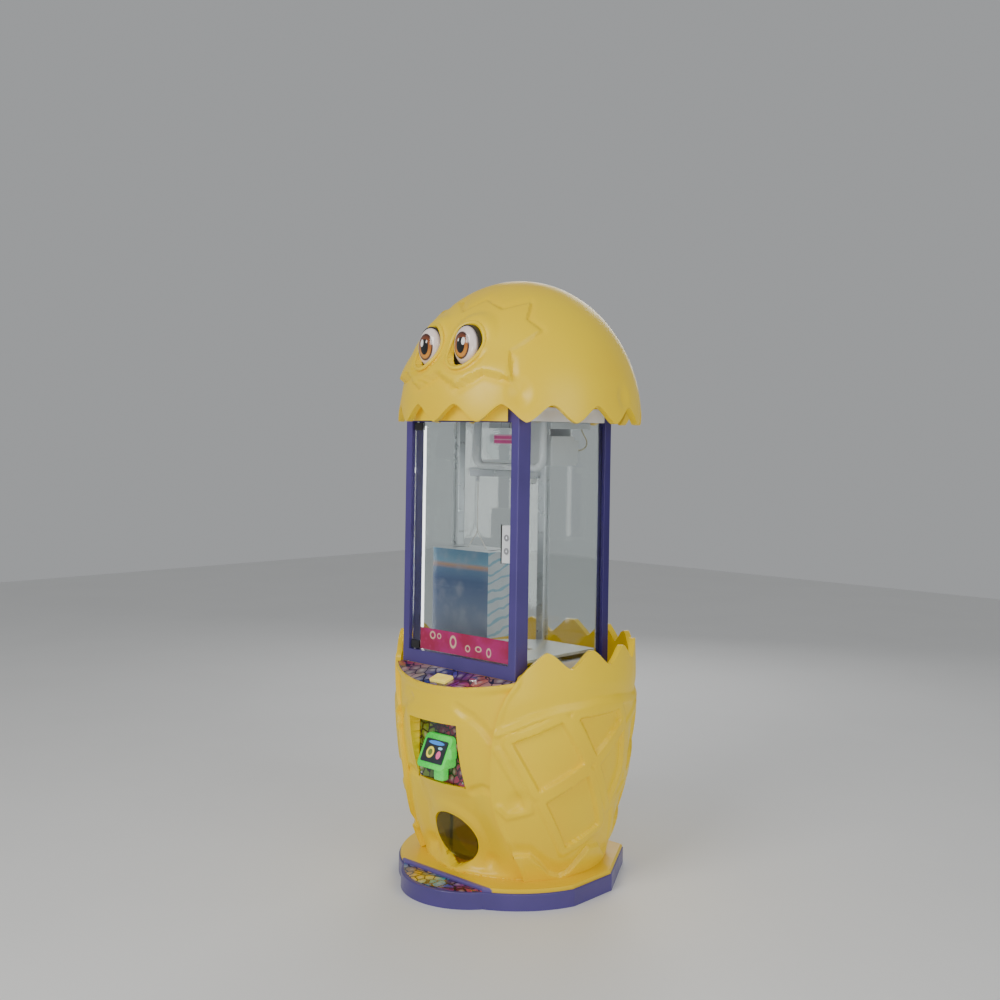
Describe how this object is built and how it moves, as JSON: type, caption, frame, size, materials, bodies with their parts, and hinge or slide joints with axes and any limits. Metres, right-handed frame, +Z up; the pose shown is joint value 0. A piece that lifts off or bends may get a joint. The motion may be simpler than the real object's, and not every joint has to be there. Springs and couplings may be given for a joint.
{
  "type": "hanging prize machine",
  "caption": "Egg-shaped prize machine: domed cracked-shell roof with eyes, glass cabinet with a hanging prize and string cutter, control deck, card reader and prize door.",
  "frame": {"origin": "centre of the egg on the floor, under the plinth", "axes": "+Z up, -Y out of the front, +X to the machine right as seen from the front"},
  "size_m": [0.868, 0.896, 2.1],
  "materials": {
    "purple": "satin powder coat",
    "graphics": "printed gloss film",
    "yellow_shell": "translucent, lit from inside",
    "black_steel": "satin",
    "chrome": "polished",
    "reader_green": "lit from inside",
    "screen": "gloss",
    "smoked": "smoked, see-through",
    "steel": "brushed",
    "white_metal": "satin powder coat",
    "button_yellow": "lit from inside",
    "aluminium": "anodised",
    "glass": "clear",
    "clear": "clear acrylic",
    "white_plastic": "matte",
    "black_plastic": "matte",
    "magenta": "printed gloss film",
    "cable": "matte",
    "string": "twisted thread",
    "carton": "coated",
    "eye": "gloss",
    "lamp": "lit diffuser"
  },
  "bodies": {
    "cabinet": {"acrylic_guard": "clear", "base_frame": "black_steel", "bottom_rails": "aluminium", "card_reader": "reader_green", "control_board_case": "black_plastic", "control_deck": "graphics", "cutter_box": "white_metal", "dome_shell": "yellow_shell", "eye_sockets": "black_plastic", "eyeball_left": "eye", "eyeball_right": "eye", "flap_pin": "steel", "foot_tray": "yellow_shell", "frame_screws": "steel", "front_fascia": "yellow_shell", "front_frame": "purple", "glass_corner": "glass", "glass_left": "glass", "glass_rear": "glass", "glass_right": "glass", "hanging_bar": "aluminium", "header_panel": "yellow_shell", "hoop_tube": "white_metal", "kick_panel": "graphics", "light_tubes": "lamp", "lock_box": "white_metal", "pivot_pins": "steel", "playfield_floor": "white_plastic", "plinth": "purple", "post_left": "aluminium", "post_rear_left": "aluminium", "post_rear_right": "aluminium", "power_inlet": "black_plastic", "prize_chute": "white_metal", "prize_hanger": "steel", "reader_panel": "graphics", "reader_screen": "screen", "rear_shell": "yellow_shell", "roof_plate": "white_metal", "service_cable": "cable", "side_shell_left": "yellow_shell", "side_shell_right": "yellow_shell", "top_housing": "white_metal", "top_rails": "aluminium"},
    "glass_door": {"glass_door": "glass", "door_pivots": "black_plastic", "instruction_strip": "magenta"},
    "prize_flap": {"prize_flap": "smoked"},
    "play_button": {"play_button": "button_yellow"},
    "round_button": {"round_button": "chrome"},
    "rear_door": {"rear_door": "yellow_shell"},
    "rear_lock": {"rear_lock_barrel": "chrome"},
    "lock_upper": {"lock_barrel_upper": "chrome"},
    "lock_lower": {"lock_barrel_lower": "chrome"},
    "blade_slider": {"blade_slider": "white_plastic"},
    "blade_arm": {"blade_arm": "steel"},
    "prize_ring": {"prize_ring": "steel"},
    "prize": {"prize_string": "string", "prize_box_lower": "carton", "prize_box_upper": "carton"}
  },
  "joints": [
    {"name": "door_hinge", "type": "hinge", "parent": "cabinet", "child": "glass_door", "pos_m": [-0.222, -0.289, 1.192], "axis": [0, 0, -1], "range_deg": [0, 95]},
    {"name": "flap_hinge", "type": "hinge", "parent": "cabinet", "child": "prize_flap", "pos_m": [0, -0.31147, 0.26511], "axis": [-1, 0, 0], "range_deg": [0, 26]},
    {"name": "play_press", "type": "slide", "parent": "cabinet", "child": "play_button", "axis": [0, 0.2881, -0.9576], "range_m": [0, 0.004], "stiffness_N_per_m": 400, "springref_m": -0.003},
    {"name": "round_press", "type": "slide", "parent": "cabinet", "child": "round_button", "axis": [0, 0.2881, -0.9576], "range_m": [0, 0.004], "stiffness_N_per_m": 300, "springref_m": -0.003},
    {"name": "rear_door_hinge", "type": "hinge", "parent": "cabinet", "child": "rear_door", "pos_m": [-0.15244, 0.436, 0.385], "axis": [0, 0, 1], "range_deg": [0, 100]},
    {"name": "rear_lock_turn", "type": "hinge", "parent": "rear_door", "child": "rear_lock", "pos_m": [0.118, 0.39502, 0.4], "axis": [0, 1, 0], "range_deg": [0, 90]},
    {"name": "upper_lock_turn", "type": "hinge", "parent": "cabinet", "child": "lock_upper", "pos_m": [0.2144, -0.294, 1.212], "axis": [0, -1, 0], "range_deg": [-90, 0]},
    {"name": "lower_lock_turn", "type": "hinge", "parent": "cabinet", "child": "lock_lower", "pos_m": [0.2144, -0.294, 1.168], "axis": [0, -1, 0], "range_deg": [-90, 0]},
    {"name": "cutter_slide", "type": "slide", "parent": "cabinet", "child": "blade_slider", "axis": [-1, 0, 0], "range_m": [0, 0.16]},
    {"name": "blade_close", "type": "hinge", "parent": "blade_slider", "child": "blade_arm", "pos_m": [0.16, -0.111, 1.387], "axis": [0, 0, 1], "range_deg": [0, 24]},
    {"name": "prize_swing_fore", "type": "hinge", "parent": "cabinet", "child": "prize_ring", "pos_m": [-0.08, -0.125, 1.394], "axis": [1, 0, 0], "range_deg": [-1.5, 1.5]},
    {"name": "prize_swing_side", "type": "hinge", "parent": "prize_ring", "child": "prize", "pos_m": [-0.08, -0.125, 1.388], "axis": [0, -1, 0], "range_deg": [-1.5, 1.5]}
  ]
}
